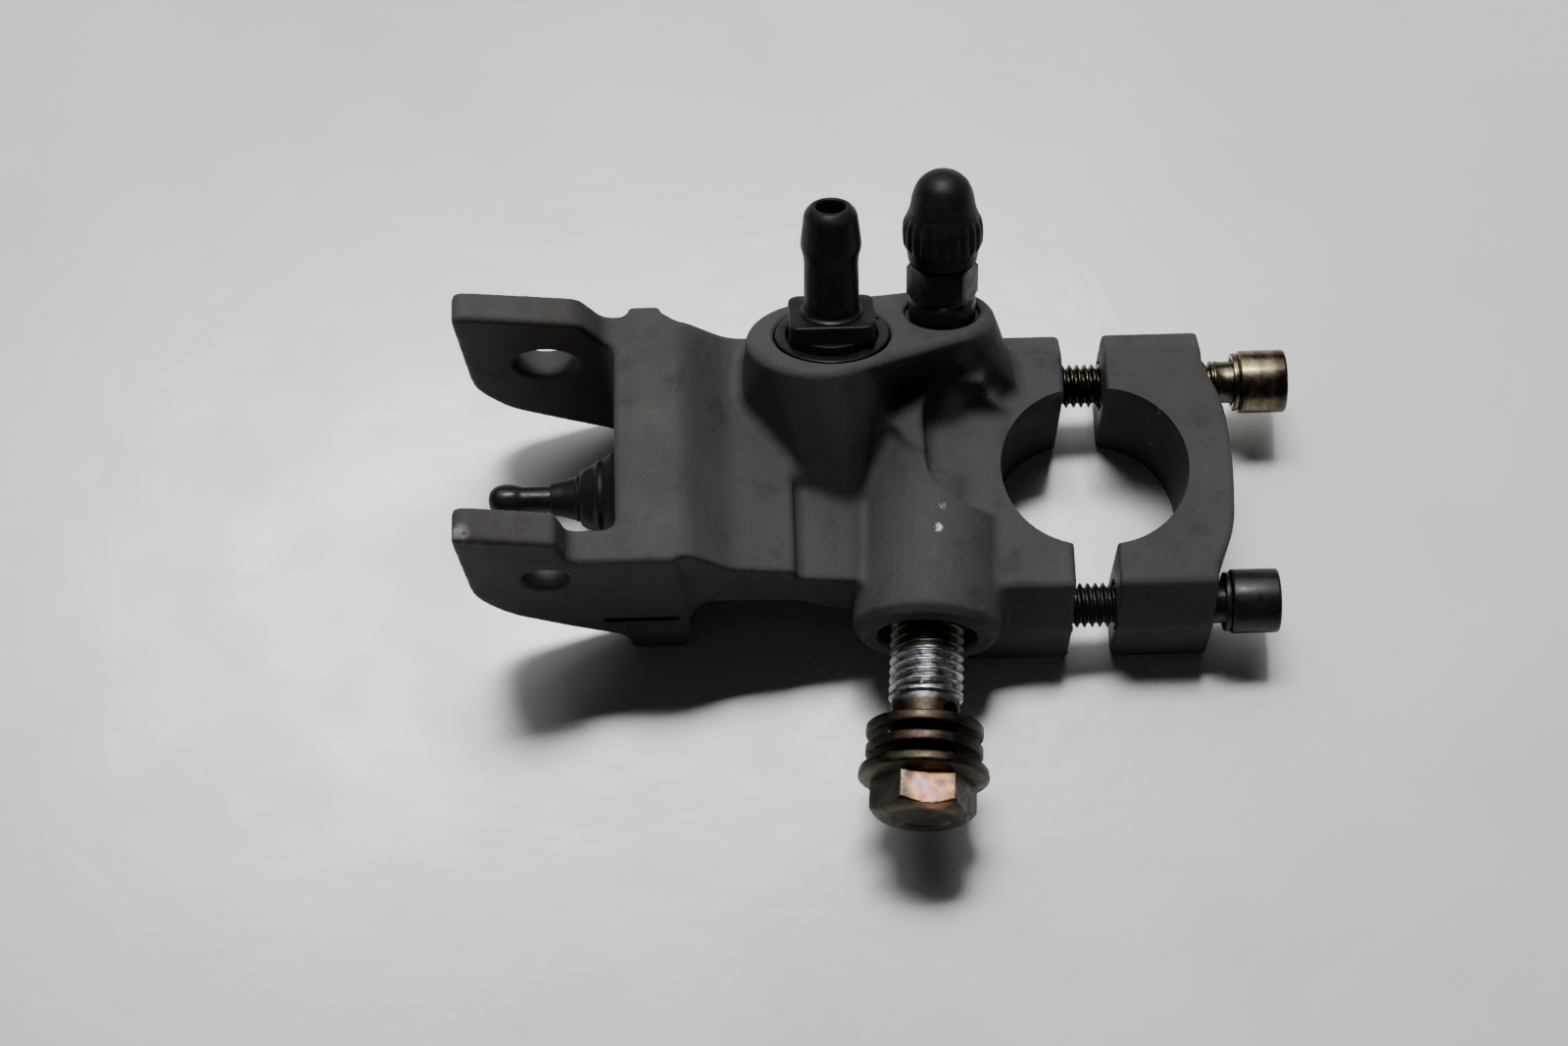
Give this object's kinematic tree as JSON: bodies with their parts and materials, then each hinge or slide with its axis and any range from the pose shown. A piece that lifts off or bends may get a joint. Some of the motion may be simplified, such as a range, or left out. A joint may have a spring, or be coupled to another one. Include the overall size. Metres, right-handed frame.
{
  "type": "brake master cylinder",
  "caption": "Radial master cylinder with a split handlebar clamp, forked lever yoke, booted pushrod, remote-reservoir barb, capped bleeder and a side outlet bolt.",
  "frame": {"origin": "under the middle of the object's box, on the plane of the clamp's lower face", "axes": "+X from the lever yoke to the handlebar clamp, along the piston; +Z along the handlebar; +Y from the outlet side to the side of the top fittings, so the lever pivot runs along Y"},
  "size_m": [0.1104, 0.0786, 0.0475],
  "materials": {
    "cast_body": "satin grey paint over cast aluminium, scuffed",
    "clamp_cap": "satin warm grey paint over machined aluminium",
    "yellow_zinc": "worn yellow zinc plate",
    "black_steel": "black oxide",
    "olive_zinc": "aged olive zinc plate, iridescent",
    "copper_washer": "dull used copper",
    "black_plastic": "moulded glass-filled plastic",
    "black_rubber": "matt moulded rubber",
    "bright_steel": "plain spring steel",
    "hard_anodised": "hard anodised"
  },
  "bodies": {
    "master": {"master_body": "cast_body", "connector_circlip": "black_steel", "rod_circlip": "bright_steel", "rod_washer": "bright_steel", "dust_boot": "black_rubber", "return_spring": "bright_steel"},
    "piston": {"piston": "hard_anodised", "primary_cup": "black_rubber", "secondary_cup": "black_rubber"},
    "pushrod": {"pushrod": "black_steel"},
    "connector": {"hose_connector": "black_plastic", "connector_seal": "black_rubber"},
    "bleeder": {"bleed_screw": "black_steel"},
    "bleeder_cap": {"bleeder_cap": "black_rubber"},
    "cap": {"clamp_cap": "clamp_cap"},
    "upper_washer": {"bolt_washer_upper": "yellow_zinc"},
    "upper_bolt": {"clamp_bolt_upper": "yellow_zinc"},
    "lower_washer": {"bolt_washer_lower": "black_steel"},
    "lower_bolt": {"clamp_bolt_lower": "black_steel"},
    "outer_washer": {"crush_washer_outer": "copper_washer"},
    "outlet_bolt": {"banjo_bolt": "olive_zinc"},
    "inner_washer": {"crush_washer_inner": "copper_washer"}
  },
  "joints": [
    {"name": "piston_stroke", "type": "slide", "parent": "master", "child": "piston", "axis": [1, 0, 0], "range_m": [0, 0.009], "stiffness_N_per_m": 400, "springref_m": -0.012, "deforming": ["return_spring", "dust_boot"]},
    {"name": "pushrod_tilt", "type": "hinge", "parent": "piston", "child": "pushrod", "pos_m": [-0.02493, 0.00816, 0.0104], "axis": [0, 1, 0], "range_deg": [-2, 2], "deforming": ["dust_boot"]},
    {"name": "connector_swivel", "type": "hinge", "parent": "master", "child": "connector", "pos_m": [-0.00643, 0.01914, 0.02713], "axis": [0, 0.5736, 0.8192], "range_deg": [-180, 180]},
    {"name": "bleeder_turn", "type": "hinge", "parent": "master", "child": "bleeder", "pos_m": [0.00817, 0.0234, 0.02414], "axis": [0, 0.5736, 0.8192], "range_deg": [0, 360]},
    {"name": "bleeder_cap_pull", "type": "slide", "parent": "bleeder", "child": "bleeder_cap", "axis": [0, 0.5736, 0.8192], "range_m": [0, 0.02]},
    {"name": "clamp_cap_travel", "type": "slide", "parent": "master", "child": "cap", "axis": [-1, 0, 0], "range_m": [0, 0.0025]},
    {"name": "upper_bolt_travel", "type": "slide", "parent": "master", "child": "upper_washer", "axis": [-1, 0, 0], "range_m": [-0.003, 0.0045]},
    {"name": "upper_bolt_turn", "type": "hinge", "parent": "upper_washer", "child": "upper_bolt", "pos_m": [0.03647, 0.02306, 0.0096], "axis": [-1, 0, 0], "range_deg": [-1080.5, 1620.5]},
    {"name": "lower_bolt_travel", "type": "slide", "parent": "master", "child": "lower_washer", "axis": [-1, 0, 0], "range_m": [-0.006, 0.001]},
    {"name": "lower_bolt_turn", "type": "hinge", "parent": "lower_washer", "child": "lower_bolt", "pos_m": [0.03647, -0.00874, 0.0096], "axis": [-1, 0, 0], "range_deg": [-2160.5, 360.5]},
    {"name": "outlet_bolt_travel", "type": "slide", "parent": "master", "child": "outer_washer", "axis": [0.0698, 0.9976, 0], "range_m": [-0.004, 0.0055]},
    {"name": "outlet_bolt_turn", "type": "hinge", "parent": "outer_washer", "child": "outlet_bolt", "pos_m": [0.00408, -0.02727, 0.014], "axis": [0.0698, 0.9976, 0], "range_deg": [-1152.5, 1584.5]},
    {"name": "inner_washer_slide", "type": "slide", "parent": "outer_washer", "child": "inner_washer", "axis": [0.0698, 0.9976, 0], "range_m": [0, 0.0065]}
  ],
  "couplings": [
    {"joint": "upper_bolt_turn", "follows": "upper_bolt_travel", "rad_per_m": 6283.2},
    {"joint": "lower_bolt_turn", "follows": "lower_bolt_travel", "rad_per_m": 6283.2},
    {"joint": "outlet_bolt_turn", "follows": "outlet_bolt_travel", "rad_per_m": 5026.5}
  ]
}
